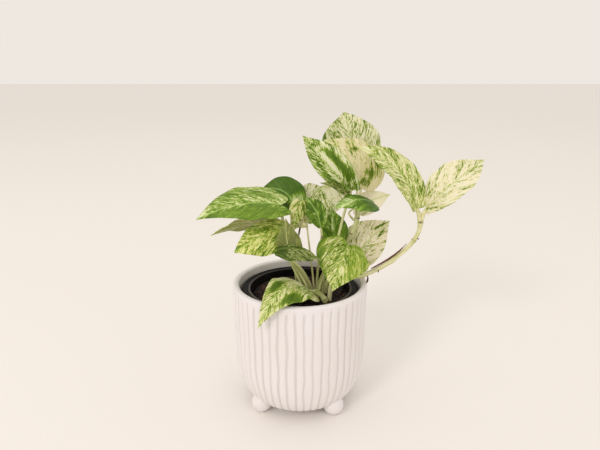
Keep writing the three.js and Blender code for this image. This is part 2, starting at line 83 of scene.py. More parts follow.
# Leaves: blade base, middle and tip, the way the upper side faces, left and right half widths, folds
# and droops in degrees. Millimetres from the pots' axis, with heights from the cover pot's rim.
# tone: how pale the left and right halves are (0 green, 1 white); vivid: how strong the marbling is;
# marks: (across, along, reach across, reach along, change of tone, share of the marbling left).
# tint: a colour multiplied into each leaf; the dark tints of left_upright, shaded and top_folded are painted
# shade for leaves lying in the shade of others.
LEAVES = {
    "left_long": dict(
        base=(-17, -12, 75), middle=(-50, -27, 79), tip=(-85, -44, 70), facing=(0.1, -0.5, 0.85),
        half_widths=(19, 22), folds=(6, 10), droops=(20, 25),
        tone=(0.4, 0.44), vivid=0.85, tint="#F4FFE6",
        marks=[(-0.6, 0.4, 0.5, 0.6, -0.05, 0.55), (0.5, 0.93, 0.4, 0.06, 0.25, 0.5)],
        stalk=dict(radius=1.3, points=[(7, -6, -7), (-6, -8, 15), (-14, -7, 34), (-15, -5, 56)]),
    ),
    "left_dark": dict(
        base=(-6, 4, 72), middle=(-17, 10, 83), tip=(-36, 18, 82), facing=(0.15, -0.9, 0.45),
        half_widths=(15, 17), folds=(5, 5), droops=(25, 25),
        tone=(0.18, 0.2), vivid=0.3, tint="#DDEFD2", marks=[(0.3, 0.1, 0.6, 0.12, 0.35, 2.2)],
        stalk=dict(radius=1.2, points=[(10, -2, -7), (-3, 0, 14), (-8, 3, 43)]),
    ),
    "left_under": dict(
        base=(-18, 11, 49), middle=(-48, 5, 53), tip=(-81, -4, 44), facing=(0, 0.6, 0.8),
        half_widths=(16, 18), folds=(8, 8), droops=(20, 20),
        tone=(0.53, 0.5), vivid=0.7, tint="#FFFBE6",
        marks=[(0.0, 0.1, 1.2, 0.3, -0.1, 1.6), (0.15, 0.84, 0.12, 0.025, -0.8, 1.0)],
        stalk=dict(radius=1.2, points=[(7, 2, -7), (-8, 7, 16), (-15, 11, 36)]),
    ),
    "left_bright": dict(
        base=(-16, -16, 55), middle=(-37, -31, 50), tip=(-56, -37, 39), facing=(-0.15, -0.85, 0.5),
        half_widths=(19, 14), folds=(5, 5), droops=(20, 30),
        tone=(0.5, 0.49), vivid=1.1, tint="#F2F8B4", marks=[(0.0, 0.05, 0.9, 0.2, -0.04, 0.7)],
        stalk=dict(radius=1.2, points=[(3, -11, -7), (-7, -13, 20), (-12, -14, 40)]),
    ),
    "left_upright": dict(
        base=(-8, -34, 36), middle=(-11, -37, 51), tip=(-12, -31, 68), facing=(0, 0.95, 0.3),
        half_widths=(12, 10), folds=(12, 12), droops=(10, 10),
        # The dark olive tint is painted shade: this leaf hangs in the shade of the leaves above it.
        tone=(0.38, 0.36), vivid=0.9, tint="#B0AC76", marks=[],
        stalk=dict(radius=1.2, points=[(8, -12, -7), (-1, -11, 12), (-6, -22, 27)]),
    ),
    "shaded": dict(
        base=(-16, -43, 45), middle=(0, -44, 44), tip=(19.5, -38, 32), facing=(0.1, -0.45, 0.9),
        half_widths=(5, 13), folds=(5, 5), droops=(20, 20),
        # The dark grey-green tint is painted shade for a leaf in the shadow of the leaves above.
        tone=(0.44, 0.46), vivid=1.3, tint="#B4B998", marks=[(0.0, 0.1, 0.8, 0.15, -0.25, 0.5)],
        stalk=dict(radius=1.1, points=[(11, -10, -7), (4, -20, 14), (-9, -38, 36)]),
    ),
    "hood": dict(
        base=(0, -6, 76), middle=(-2.5, -9, 66), tip=(-6, -10, 55), facing=(0.15, -0.9, 0.4),
        half_widths=(8, 8), folds=(5, 5), droops=(25, 25),
        tone=(0.52, 0.5), vivid=1.1, tint="#ECEEC0", marks=[],
        stalk=dict(radius=0.9, points=[(-3, -2, -7), (-5, -4, 22), (0, 2, 50), (2, 1, 69)]),
    ),
    "speckled_small": dict(
        base=(6, -3, 57), middle=(1, -4, 61), tip=(-9, -5, 47), facing=(0, -1, 0.2),
        half_widths=(10, 8), folds=(8, 8), droops=(10, 10),
        tone=(0.6, 0.58), vivid=1.1, tint="#FBF6DC", marks=[],
        stalk=dict(radius=0.9, points=[(13, 1, -7), (9, -1, 29), (7, -2, 46)]),
    ),
    "small_dark": dict(
        base=(18.5, -8, 53), middle=(14, -12, 69), tip=(5, -13, 82), facing=(0, -1, 0.2),
        half_widths=(9, 9), folds=(12, 12), droops=(10, 15), broadest=0.48, base_share=0.25, lobe=0.02,
        tone=(0.3, 0.33), vivid=1.0, tint="#E4F4D8", marks=[],
        stalk=dict(radius=0.9, points=[(21, -6, -7), (25, -6, 18), (21, -5, 38)]),
    ),
    "back_pale": dict(
        base=(20, 24, 83), middle=(20, 19, 68), tip=(20, 11, 52), facing=(0, -0.9, 0.45),
        half_widths=(23, 26), folds=(10, 10), droops=(10, 15),
        tone=(0.6, 0.57), vivid=1.4, tint="#FFFFF4", marks=[],
        stalk=dict(radius=1.2, points=[(16, 5, -7), (18, 8, 22), (21, 14, 42), (26, 28, 66), (23, 31, 82)]),
    ),
    "centre_green": dict(
        base=(32, 7, 36), middle=(31, 6, 51), tip=(29, 8, 66), facing=(0, -1, 0.2),
        half_widths=(12, 13), folds=(8, 8), droops=(10, 10),
        tone=(0.3, 0.28), vivid=0.8, tint="#F0FFE0", marks=[(-0.12, 0.55, 0.12, 0.3, 0.4, 1.0)],
        stalk=dict(radius=1.1, points=[(21, 4, -7), (27, 4, 17)]),
    ),
    "right_pale": dict(
        base=(50, 20, 13), middle=(67, 22, 33), tip=(86, 26, 50), facing=(0.1, -0.95, 0.3),
        half_widths=(23, 19), folds=(8, 8), droops=(15, 15),
        tone=(0.68, 0.68), vivid=1.4, tint="#FFFAF0",
        marks=[(-0.25, 0.84, 0.14, 0.17, -0.55, 0.6), (0.3, 0.72, 0.1, 0.16, -0.4, 0.8)],
        stalk=dict(radius=1.1, points=[(24, 7, -7), (38, 14, 5)]),
    ),
    "front_right": dict(
        base=(43, -12, 38), middle=(36, -25, 27), tip=(28, -38, 4), facing=(0.05, -0.7, 0.7),
        half_widths=(26, 25), folds=(0, 8), droops=(35, 25),
        tone=(0.49, 0.48), vivid=1.2, tint="#F4F8D0",
        marks=[(1.0, 0.35, 0.28, 0.6, -0.14, 0.3), (-0.65, 0.35, 0.45, 0.6, -0.03, 0.3),
               (0.0, 0.0, 1.2, 0.08, -0.03, 0.4)],
        stalk=dict(radius=1.3, points=[(17, -13, -7), (24, -10, 14), (33, -6, 30), (41, -7, 37)]),
    ),
    "front_droop": dict(
        base=(8, -24, 0), middle=(-14, -50, 12), tip=(-35, -64, -18), facing=(-0.2, -0.5, 0.85),
        half_widths=(21, 19), folds=(0, 5), droops=(20, 30), broadest=0.2,
        tone=(0.52, 0.52), vivid=1.0, tint="#F2F6D4",
        marks=[(-0.7, 0.55, 0.3, 0.16, -0.32, 0.4), (0.45, 0.52, 0.25, 0.12, -0.3, 0.4),
               (0.5, 0.2, 0.7, 0.2, 0.04, 1.0)],
        stalk=None,
    ),
    "top_striped": dict(
        base=(43, 4, 86), middle=(22, -5, 110), tip=(2, -4, 134), facing=(-0.1, -0.9, 0.3),
        half_widths=(12, 18), folds=(35, 35), droops=(15, 15), broadest=0.45,
        tone=(0.48, 0.47), vivid=1.4, tint="#F8FFEA",
        marks=[(0.55, 0.45, 0.2, 0.3, -0.25, 0.3), (0.22, 0.5, 0.12, 0.25, 0.35, 0.6),
               (-0.75, 0.25, 0.35, 0.4, -0.12, 0.8)],
        stalk=dict(radius=1.3, points=[(17, 0, -7), (27, 0, 19), (34, -4, 42), (41, 5, 66), (46, 10, 80)]),
    ),
    "top_folded": dict(
        base=(40.5, -4.5, 84.5), middle=(32, -13, 91), tip=(17, -15, 95), facing=(-0.2, -0.6, 0.8),
        half_widths=(5, 5), folds=(20, 20), droops=(5, 5),
        # The dark tint is painted shade: this leaf lies under top_striped.
        tone=(0.42, 0.42), vivid=1.2, tint="#B4B68C", marks=[],
        stalk=dict(radius=0.8, start=(49, 8.5, 66), points=[(48, 5, 71), (44.5, -1, 77)]),
    ),
    "middle_dark": dict(
        base=(66, -1, 74), middle=(49, -14, 80), tip=(29, -22, 74), facing=(0, -0.5, 0.87),
        half_widths=(13, 13), folds=(-5, -5), droops=(25, 25),
        tone=(0.32, 0.3), vivid=0.6, tint="#E6F8DC",
        marks=[(0.0, 0.15, 1.5, 0.25, -0.12, 0.5), (0.0, 0.85, 1.2, 0.35, 0.2, 1.6)],
        stalk=dict(radius=1.1, start=(57, 8, 60), points=[(64, 6, 67)]),
    ),
    "top_patched": dict(
        base=(54, 22, 85), middle=(46, 24, 107), tip=(22, 34, 126), facing=(0.1, -0.95, 0.3),
        half_widths=(22, 29), folds=(5, 5), droops=(15, 20),
        tone=(0.66, 0.67), vivid=0.9, tint="#FAF4DE",
        marks=[(0.25, 0.1, 0.2, 0.06, -0.32, 1.2), (0.5, 0.21, 0.22, 0.07, -0.34, 1.2),
               (0.85, 0.3, 0.24, 0.07, -0.32, 1.3), (0.5, 0.6, 0.1, 0.04, -0.3, 1.4),
               (0.15, 0.62, 0.3, 0.12, -0.08, 1.5)],
        stalk=dict(radius=1.2, start=(52, 12.5, 76.5), points=[(52.5, 15, 79)]),
    ),
    "top_speckled": dict(
        base=(48, 34, 111), middle=(46, 42, 132), tip=(42, 56, 150), facing=(0, -0.8, 0.6),
        half_widths=(27, 29), folds=(10, 10), droops=(15, 20), broadest=0.22,
        tone=(0.55, 0.56), vivid=1.6, tint="#F4F4E6",
        marks=[(0.35, 0.15, 0.25, 0.12, -0.15, 1.0), (-1.0, 0.25, 0.2, 0.2, -0.15, 0.8)],
        stalk=dict(radius=1.2, start=(54, 15.5, 70), points=[(58, 32, 90), (51, 36, 105)]),
    ),
    "back_white": dict(
        base=(52, 23, 64), middle=(68, 23, 71), tip=(85, 24, 76), facing=(0, -0.9, 0.4),
        half_widths=(10, 12), folds=(10, 10), droops=(10, 10),
        tone=(0.8, 0.76), vivid=0.5, tint="#FFFDF2", marks=[],
        stalk=dict(radius=0.9, start=(50, 13, 54), points=[(46, 20, 59)]),
    ),
    "vine_left": dict(
        base=(108.5, 12.5, 65.5), middle=(88, 8, 101), tip=(49, 6, 123.5), facing=(0.2, -0.75, 0.6),
        half_widths=(14, 16), folds=(20, 20), droops=(20, 20), broadest=0.4, base_share=0.5, lobe=0.02,
        tone=(0.56, 0.55), vivid=1.2, tint="#F8FBDC", marks=[(0.0, 0.95, 1.0, 0.12, 0.25, 0.5)],
        stalk=dict(radius=1.4, wing=1.5, start=(111.5, 13, 54), points=[(110, 12.6, 60)]),
    ),
    "vine_right": dict(
        base=(117, 14, 66), middle=(138, 7, 90), tip=(171, 27, 108.5), facing=(-0.2, -0.7, 0.7),
        half_widths=(20, 16), folds=(15, 15), droops=(15, 15), broadest=0.5, base_share=0.5, lobe=0.02,
        tone=(0.68, 0.69), vivid=1.3, tint="#FFFCF0",
        marks=[(0.1, 0.8, 0.15, 0.12, -0.15, 1.0)],
        stalk=dict(radius=1.1, wing=1.9, start=(113, 14, 54), points=[(115, 14.6, 60)]),
    ),
}

# Vines: radius, the points they pass, and swellings (share of the length, reach, growth of radius).
VINES = {
    "main_stem": dict(
        radius=2.8, rings=20, points=[(23, -23, -21), (23, -22, -13), (19, -20, -7), (12, -20, -2.5)],
        swellings=[(0.45, 0.06, 0.25)], pale=0.1,
    ),
    "runner_vine": dict(
        radius=2.3, rings=120,
        points=[(27, -17, -21), (27, -17, -8), (29, -16, 2), (37, -13, 6), (48, -9, 6), (57, -4, 5.5),
                (67, 2, 7), (80, 6, 12.5), (94, 10, 21.5), (103, 12, 29.5), (109, 13, 38),
                (112, 14, 46), (112.5, 14, 54)],
        swellings=[(0.42, 0.02, 0.25), (0.62, 0.02, 0.2), (0.8, 0.015, 0.22), (0.98, 0.04, 0.3)], pale=0.75,
    ),
    "upper_vine": dict(
        radius=2.2, rings=60,
        points=[(24, -1, -21), (24, -1, -8), (31, 8, 8), (39, 11, 24), (46, 10, 39), (51, 9, 50),
                (53, 10, 62), (52, 11, 74)],
        swellings=[(0.62, 0.03, 0.25), (0.8, 0.03, 0.25), (0.96, 0.04, 0.25)], pale=0.35,
    ),
}

DRY_SHEATH = [(66, 1, 10.4), (79, 5.5, 16), (91, 9, 23.3), (100, 11, 31.6)]

ROOT_STUBS = [
    [(62, -1, 5.5), (63, -4, 3), (62.5, -6, 0.5), (61, -6.5, -1)],
    [(73, 4, 9.5), (73.3, 1.6, 7.6), (72.4, 0.9, 6.8)],
    [(109, 13, 38), (110.4, 11.4, 36.6), (111.4, 10.8, 35.8)],
    [(24, -24.5, -11), (27, -28, -12.5), (31, -29, -13.6)],
]


# ---------------------------------------------------------------- settings shown in the sidebar

class PothosSizes(bpy.types.PropertyGroup):
    flutes: bpy.props.IntProperty(
        name="Flutes", description="How many flutes run round the cover pot", default=50, min=8)
    groove_depth: bpy.props.FloatProperty(
        name="Groove depth", description="How deep the line between two flutes is cut",
        default=0.8 * MM, unit="LENGTH")
    groove_wander: bpy.props.FloatProperty(
        name="Groove wander", description="How far a hand-cut groove strays, as a share of a flute",
        default=0.2, subtype="FACTOR", min=0, max=0.5)
    lip_width: bpy.props.FloatProperty(
        name="Nursery lip", description="Width of the nursery pot's flat lip", default=7 * MM, unit="LENGTH")
    crumbs: bpy.props.IntProperty(
        name="Soil crumbs", description="How many loose crumbs and bark chips lie on the soil", default=420)
    blade_thickness: bpy.props.FloatProperty(
        name="Blade thickness", description="Thickness of a leaf blade", default=0.5 * MM, unit="LENGTH")
    edge_wave: bpy.props.FloatProperty(
        name="Edge wave", description="How far a leaf's edge waves up and down", default=0.9 * MM,
        unit="LENGTH")
    vein_spacing: bpy.props.FloatProperty(
        name="Vein spacing", description="Distance between side veins", default=6 * MM, unit="LENGTH")


class PothosColours(bpy.types.PropertyGroup):
    ceramic: bpy.props.StringProperty(
        name="Ceramic", description="Cover pot's satin glaze, sRGB hex", default="#EEEAEC")
    plastic: bpy.props.StringProperty(
        name="Plastic", description="Nursery pot's moulded plastic, sRGB hex", default="#080707")
    soil: bpy.props.StringProperty(
        name="Soil", description="Damp potting soil, sRGB hex", default="#2B1A14")
    deep_green: bpy.props.StringProperty(
        name="Deep green", description="Darkest patches of the leaves, sRGB hex", default="#4A6814")
    leaf_green: bpy.props.StringProperty(
        name="Leaf green", description="Ordinary green of the leaves, sRGB hex", default="#74902A")
    lime: bpy.props.StringProperty(
        name="Lime", description="Where green fades into cream, sRGB hex", default="#AABB50")
    cream: bpy.props.StringProperty(
        name="Cream", description="Cream parts of the leaves, sRGB hex", default="#DCDCA6")
    white: bpy.props.StringProperty(
        name="White", description="Palest parts of the leaves, sRGB hex", default="#F0ECD8")
    stage: bpy.props.StringProperty(
        name="Floor", description="Plain pale floor, sRGB hex", default="#F5F1ED")


def sizes():
    return bpy.context.scene.pothos_sizes


def colours():
    return bpy.context.scene.pothos_colours


# ---------------------------------------------------------------- materials

def linear(code):
    """An sRGB hex colour as linear RGBA."""
    shares = [int(code[i:i + 2], 16) / 255 for i in (1, 3, 5)]
    return [s / 12.92 if s <= 0.04045 else ((s + 0.055) / 1.055) ** 2.4 for s in shares] + [1.0]


def add_node(tree, kind, inputs=None, stops=None, **settings):
    """Adds a shader node with its settings, linked or constant inputs, and a ramp's stops."""
    made = tree.nodes.new("ShaderNode" + kind)
    for name, value in settings.items():
        setattr(made, name, value)
    for key, value in (inputs or {}).items():
        if isinstance(value, bpy.types.NodeSocket):
            tree.links.new(value, made.inputs[key])
        else:
            made.inputs[key].default_value = value
    if stops:
        elements = made.color_ramp.elements
        while len(elements) > 1:
            elements.remove(elements[0])
        elements[0].position, elements[0].color = stops[0]
        for place, colour in stops[1:]:
            elements.new(place).color = colour
    return made


def calculate(tree, operation, *values):
    """The output of a Math node, or of a VectorMath node where a value is a triple."""
    kind = "VectorMath" if any(isinstance(v, tuple) for v in values) else "Math"
    return add_node(tree, kind, dict(enumerate(values)), operation=operation).outputs[0]


def blend_colours(tree, share, first, second, kind="MIX"):
    made = add_node(tree, "Mix", {0: share, 6: first, 7: second}, data_type="RGBA", blend_type=kind)
    return made.outputs[2]


def attribute(tree, name, output="Fac"):
    return add_node(tree, "Attribute", attribute_name=name).outputs[output]


def object_noise(tree, scale, detail, **more):
    """Noise in the object's own coordinates; scale is in repeats per metre."""
    where = add_node(tree, "TexCoord").outputs["Object"]
    settings = {"Vector": where, "Scale": scale, "Detail": detail, **more}
    return add_node(tree, "TexNoise", settings).outputs["Fac"]


def ramp(tree, value, *stops):
    coloured = [(place, linear(code)) for place, code in stops]
    return add_node(tree, "ValToRGB", {"Fac": value}, stops=coloured).outputs[0]


def bump(tree, height, distance, strength, **more):
    """A bump of a height in millimetres."""
    return add_node(tree, "Bump", {
        "Height": height, "Distance": distance * MM, "Strength": strength, **more}).outputs[0]


def new_material(name, **constants):
    """A material with one Principled shader, and constants set on the shader's own sockets."""
    material = bpy.data.materials.new(name)
    material.use_nodes = True
    tree = material.node_tree
    tree.nodes.clear()
    bsdf = add_node(tree, "BsdfPrincipled", constants)
    output = add_node(tree, "OutputMaterial", {"Surface": bsdf.outputs[0]})
    output.is_active_output = True

    def finish(colour, normal):
        tree.links.new(colour, bsdf.inputs["Base Color"])
        tree.links.new(normal, bsdf.inputs["Normal"])
        return material

    return material, tree, bsdf, finish


def glazed_stoneware():
    """Stoneware with a satin white glaze, cast and fluted by hand: soft sheen, faint pitting, warm shade."""
    _, tree, _, finish = new_material("satin_glazed_stoneware", Roughness=0.42, IOR=1.5)
    tint = ramp(tree, object_noise(tree, 18.0, 3.0), (0.3, "#E9E4E3"), (0.7, colours().ceramic))
    # Glaze pools in the grooves, where it looks a little warmer and darker.
    pooled = blend_colours(tree, attribute(tree, "groove"), tint, linear("#E0DAD8"))
    # Pin-head pits about 0.8 mm apart and a hand-smoothed surface about 9 mm across.
    pits = bump(tree, object_noise(tree, 1250.0, 2.0), 0.06, 0.35)
    return finish(pooled, bump(tree, object_noise(tree, 110.0, 2.0), 0.5, 0.4, Normal=pits))


def moulded_polypropylene():
    """Black injection-moulded polypropylene: dull sheen, fine moulding grain, dusty scuffs, and a painted
    grey highlight on the lip's inner edge.
    """
    _, tree, bsdf, finish = new_material(
        "black_moulded_polypropylene", IOR=1.49, **{"Specular IOR Level": 0.12})
    scuffs = object_noise(tree, 90.0, 6.0, Roughness=0.7)
    tint = ramp(tree, scuffs, (0.45, colours().plastic), (0.75, "#1C1A18"))
    # A painted grey highlight runs along the raised inner edge of the lip, where that edge catches the light.
    highlighted = blend_colours(tree, attribute(tree, "rim_highlight"), tint, linear("#77736C"))
    sheen = add_node(tree, "MapRange", {
        "Value": scuffs, "From Min": 0.3, "From Max": 0.7, "To Min": 0.45, "To Max": 0.65})
    tree.links.new(sheen.outputs[0], bsdf.inputs["Roughness"])
    return finish(highlighted, bump(tree, object_noise(tree, 1600.0, 1.0), 0.05, 0.3))


def damp_peat(name, dark, light, scale):
    """Damp peat or bark, milled into crumbs: rough, dark, with fibres of a redder brown."""
    _, tree, _, finish = new_material(name, Roughness=0.88)
    crumbs = object_noise(tree, scale, 6.0, Roughness=0.75)
    tint = ramp(tree, crumbs, (0.35, dark), (0.62, light), (0.78, "#6E4A30"))
    return finish(tint, bump(tree, crumbs, 1.2, 0.8))


def blade_pattern(tree):
    """Sockets of a blade's marbled colour and of its vein relief, read from the flat blade map."""
    flat = add_node(tree, "UVMap", uv_map="blade")
    split = add_node(tree, "SeparateXYZ", {"Vector": flat.outputs[0]})
    # One unit of the map is 100 mm, and the midrib lies at 0.5.
    offset = calculate(tree, "SUBTRACT", split.outputs["X"], 0.5)
    side = calculate(tree, "SIGN", offset)
    out = calculate(tree, "MULTIPLY", calculate(tree, "ABSOLUTE", offset), 100.0)
    ahead = calculate(tree, "MULTIPLY", split.outputs["Y"], 100.0)
    # Side veins leave the midrib at an acute angle and bend further towards the tip.
    bend = calculate(tree, "MULTIPLY", calculate(tree, "MULTIPLY", out, out), VEIN_BEND)
    rise = calculate(tree, "MULTIPLY_ADD", out, VEIN_SLOPE, bend)
    vein = calculate(tree, "SUBTRACT", ahead, rise)
    lot = calculate(tree, "MULTIPLY_ADD", side, 3.7, attribute(tree, "seed"))
    along_vein = add_node(tree, "CombineXYZ", {"X": vein, "Y": out, "Z": lot}).outputs[0]
    # Marbling follows the veins: patches about 7 x 20 mm, streaks 2 x 9 mm, flecks 0.9 x 3 mm.
    mixed = 0.0
    for across, along, depth, amount in ((12, 10, 1.0, 0.75), (3.4, 4.4, 4.0, 0.85), (1.5, 1.6, 1.0, 0.95)):
        spread = calculate(tree, "MULTIPLY", along_vein, (1 / across, 1 / along, 1.0))
        cloud = add_node(tree, "TexNoise", {
            "Vector": spread, "Scale": 1.0, "Detail": depth, "Roughness": 0.65, "Distortion": 0.9})
        centred = calculate(tree, "SUBTRACT", cloud.outputs["Fac"], 0.5)
        mixed = calculate(tree, "MULTIPLY_ADD", centred, amount, mixed)
    shift = calculate(tree, "MULTIPLY", mixed, attribute(tree, "vivid"))
    paleness = calculate(tree, "ADD", attribute(tree, "tone"), shift)
    marbled = ramp(
        tree, paleness, (0.18, colours().deep_green), (0.38, colours().leaf_green), (0.46, "#8BA53C"),
        (0.5, colours().lime), (0.55, colours().cream), (0.72, colours().white))
    # A pale midrib about 1.2 mm wide.
    rib = add_node(tree, "MapRange", {
        "Value": out, "From Min": 0.25, "From Max": 1.1, "To Min": 0.55, "To Max": 0.0})
    ribbed = blend_colours(tree, rib.outputs[0], marbled, linear("#B9CF7C"))
    # Each leaf's tint is multiplied in; where the tint is dark it is painted shade.
    tinted = blend_colours(tree, 1.0, ribbed, attribute(tree, "tint", "Color"), "MULTIPLY")
    # Side veins as shallow channels, and fine cells 0.7 mm across between them.
    wave = calculate(tree, "MULTIPLY", vein, 2 * math.pi * MM / sizes().vein_spacing)
    channel = calculate(tree, "ADD", calculate(tree, "COSINE", wave), 1.0)
    low = calculate(tree, "MULTIPLY", calculate(tree, "POWER", channel, 4.0), -0.05)
    cells_at = calculate(tree, "MULTIPLY", along_vein, (1.4, 1.4, 0.0))
    cells = add_node(tree, "TexNoise", {"Vector": cells_at, "Scale": 1.0, "Detail": 2.0})
    return tinted, calculate(tree, "MULTIPLY_ADD", cells.outputs["Fac"], 0.3, low)


def waxy_blade():
    """The upper side of a grown pothos leaf: waxy cuticle over marbled green, lime and cream tissue."""
    _, tree, _, finish = new_material(
        "waxy_variegated_blade", Roughness=0.45, IOR=1.45, **{"Specular IOR Level": 0.3})
    colour, height = blade_pattern(tree)
    return finish(colour, bump(tree, height, 0.35, 0.55))


def matt_underside():
    """The underside of the same leaf: matt, paler and more olive, with the marbling showing through."""
    _, tree, _, finish = new_material("matt_blade_underside", Roughness=0.6, IOR=1.4)
    colour, height = blade_pattern(tree)
    relief = bump(tree, height, 0.5, 0.7)
    relief.node.invert = True
    return finish(blend_colours(tree, 0.4, colour, linear("#9AA05C")), relief)


def fresh_stem():
    """A living pothos stem: smooth green skin with long pale streaks, corky brown at nodes and wounds."""
    _, tree, _, finish = new_material("smooth_green_stem", Roughness=0.42, IOR=1.42)
    flat = add_node(tree, "UVMap", uv_map="stem").outputs[0]
    # Streaks about 2 mm wide and 16 mm long run with the stem; one unit of the map is 100 mm.
    stretched = calculate(tree, "MULTIPLY", flat, (60.0, 6.0, 1.0))
    streaks = add_node(tree, "TexNoise", {"Vector": stretched, "Scale": 1.0, "Detail": 2.0}).outputs["Fac"]
    green = ramp(tree, streaks, (0.35, "#8B9C4A"), (0.6, "#C2C884"))
    cream = ramp(tree, streaks, (0.35, "#D8D392"), (0.6, "#F1EAC4"))
    skin = blend_colours(tree, attribute(tree, "pale"), green, cream)
    edge = calculate(tree, "ADD", object_noise(tree, 420.0, 4.0), attribute(tree, "cork"))
    mask = add_node(tree, "MapRange", {"Value": edge, "From Min": 0.85, "From Max": 1.1})
    brown = blend_colours(tree, mask.outputs[0], skin, linear("#4A2A1A"))
    return finish(brown, bump(tree, streaks, 0.2, 0.5))


def papery_sheath():
    """A dried leaf sheath: brown paper-like skin with fibres."""
    _, tree, _, finish = new_material("dried_papery_sheath", Roughness=0.75)
    fibres = object_noise(tree, 500.0, 5.0, Distortion=1.5)
    return finish(ramp(tree, fibres, (0.35, "#4A2417"), (0.65, "#734530")), bump(tree, fibres, 0.3, 0.8))


# ---------------------------------------------------------------- modelling helpers

def at_rim(point):
    """A plant point in metres in the part's frame."""
    return AXIS + Vector((point[0] * MM, point[1] * MM, RIM + point[2] * MM))


def start_piece():
    bpy.ops.object.select_all(action="DESELECT")


def name_piece(name):
    piece = bpy.context.object
    piece.name = name
    piece.data.name = name
    return piece


def sheet_grid(name, columns, rows, place):
    """A grid of columns x rows faces whose points are put by place(across, along), each from 0 to 1."""
    start_piece()
    bpy.ops.mesh.primitive_grid_add(x_subdivisions=columns, y_subdivisions=rows, size=2)
    piece = name_piece(name)
    shares = [((v.co.x + 1) / 2, (v.co.y + 1) / 2) for v in piece.data.vertices]
    for vertex, share in zip(piece.data.vertices, shares):
        vertex.co = place(*share)
    return piece, shares


def set_values(piece, name, values):
    """Stores one number per point under a name that materials read."""
    layer = piece.data.attributes.new(name, "FLOAT", "POINT")
    layer.data.foreach_set("value", list(values))


def set_map(piece, name, places):
    """Stores one flat map place per point, for every face corner that uses it."""
    layer = piece.data.uv_layers.active or piece.data.uv_layers.new(name=name)
    layer.name = name
    for loop in piece.data.loops:
        layer.data[loop.index].uv = places[loop.vertex_index]


def edit_mesh(piece, *steps):
    """Runs mesh tools, each given with its settings, on the whole of a piece."""
    bpy.context.view_layer.objects.active = piece
    bpy.ops.object.mode_set(mode="EDIT")
    for tool, settings in steps:
        bpy.ops.mesh.select_all(action="SELECT")
        tool(**settings)
    bpy.ops.object.mode_set(mode="OBJECT")


def close_and_smooth(piece, gap=0.002 * MM, angle=50, fill=False):
    """Merges doubled points, fills open ends, turns the faces outwards and shades them smooth."""
    piece.select_set(True)
    filling = [(bpy.ops.mesh.fill_holes, dict(sides=0))] if fill else []
    edit_mesh(
        piece, (bpy.ops.mesh.remove_doubles, dict(threshold=gap)), *filling,
        (bpy.ops.mesh.normals_make_consistent, dict(inside=False)))
    bpy.ops.object.shade_smooth_by_angle(angle=math.radians(angle))


def finish_piece(piece, slot, nodes, *materials):
    for material in materials:
        piece.data.materials.append(material)
    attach(piece, "root")
    if nodes:
        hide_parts(*nodes)


def join_pieces(pieces, name):
    start_piece()
    for piece in pieces:
        piece.select_set(True)
    bpy.context.view_layer.objects.active = pieces[0]
    bpy.ops.object.join()
    return name_piece(name)


def turned_shell(name, profile, columns, shape=None):
    """A closed body of revolution about the pots' axis; shape(turn, step, radius, height) may move it."""
    last = len(profile) - 1

    def place(across, along):
        step = round(along * last)
        radius, height = profile[step]
        turn = across
        if shape:
            turn, radius, height = shape(across, step, radius, height)
        angle = turn * 2 * math.pi
        return AXIS + Vector((radius * math.cos(angle), radius * math.sin(angle), height))

    return sheet_grid(name, columns, last, place)


def smooth_line(points, count):
    """Points on a centripetal Catmull-Rom curve through the given points."""
    ends = [points[0] * 2 - points[1], *points, points[-1] * 2 - points[-2]]
    line = []
    for i in range(count + 1):
        place = i / count * (len(points) - 1)
        k = min(int(place), len(points) - 2)
        share = place - k
        p0, p1, p2, p3 = ends[k:k + 4]
        a, b, c = ((q - p).length ** 0.5 for p, q in ((p0, p1), (p1, p2), (p2, p3)))
        start = ((p1 - p0) / a - (p2 - p0) / (a + b) + (p2 - p1) / b) * b
        end = ((p2 - p1) / b - (p3 - p1) / (b + c) + (p3 - p2) / c) * b
        line.append(p1 + start * share + (p2 * 3 - p1 * 3 - start * 2 - end) * share ** 2
                    + (p1 * 2 - p2 * 2 + start + end) * share ** 3)
    return line


def tube(name, line, radius_at, sides=14, flatten=1.0):
    """A closed tube along a line; radius_at(share of the way, turn) is in metres."""
    count = len(line) - 1
    tangents = [(line[min(i + 1, count)] - line[max(i - 1, 0)]).normalized() for i in range(count + 1)]
    across = tangents[0].orthogonal().normalized()
    frames = []
    for tangent in tangents:
        across = (across - tangent * across.dot(tangent)).normalized()
        frames.append((across, tangent.cross(across)))

    def place(turn, along):
        i = round(along * count)
        angle = turn * 2 * math.pi
        u, w = frames[i]
        radius = radius_at(along, turn)
        return line[i] + u * (radius * math.cos(angle)) + w * (radius * flatten * math.sin(angle))

    piece, shares = sheet_grid(name, sides, count, place)
    length = sum((b - a).length for a, b in zip(line, line[1:]))
    set_map(piece, "stem", [(turn * 0.1, along * length * 10) for turn, along in shares])
    return piece, shares


def bump_near(value, centre, reach):
    """1 at the centre, fading to 0 over the reach."""
    return math.exp(-((value - centre) / reach) ** 2)


# ---------------------------------------------------------------- pots and soil

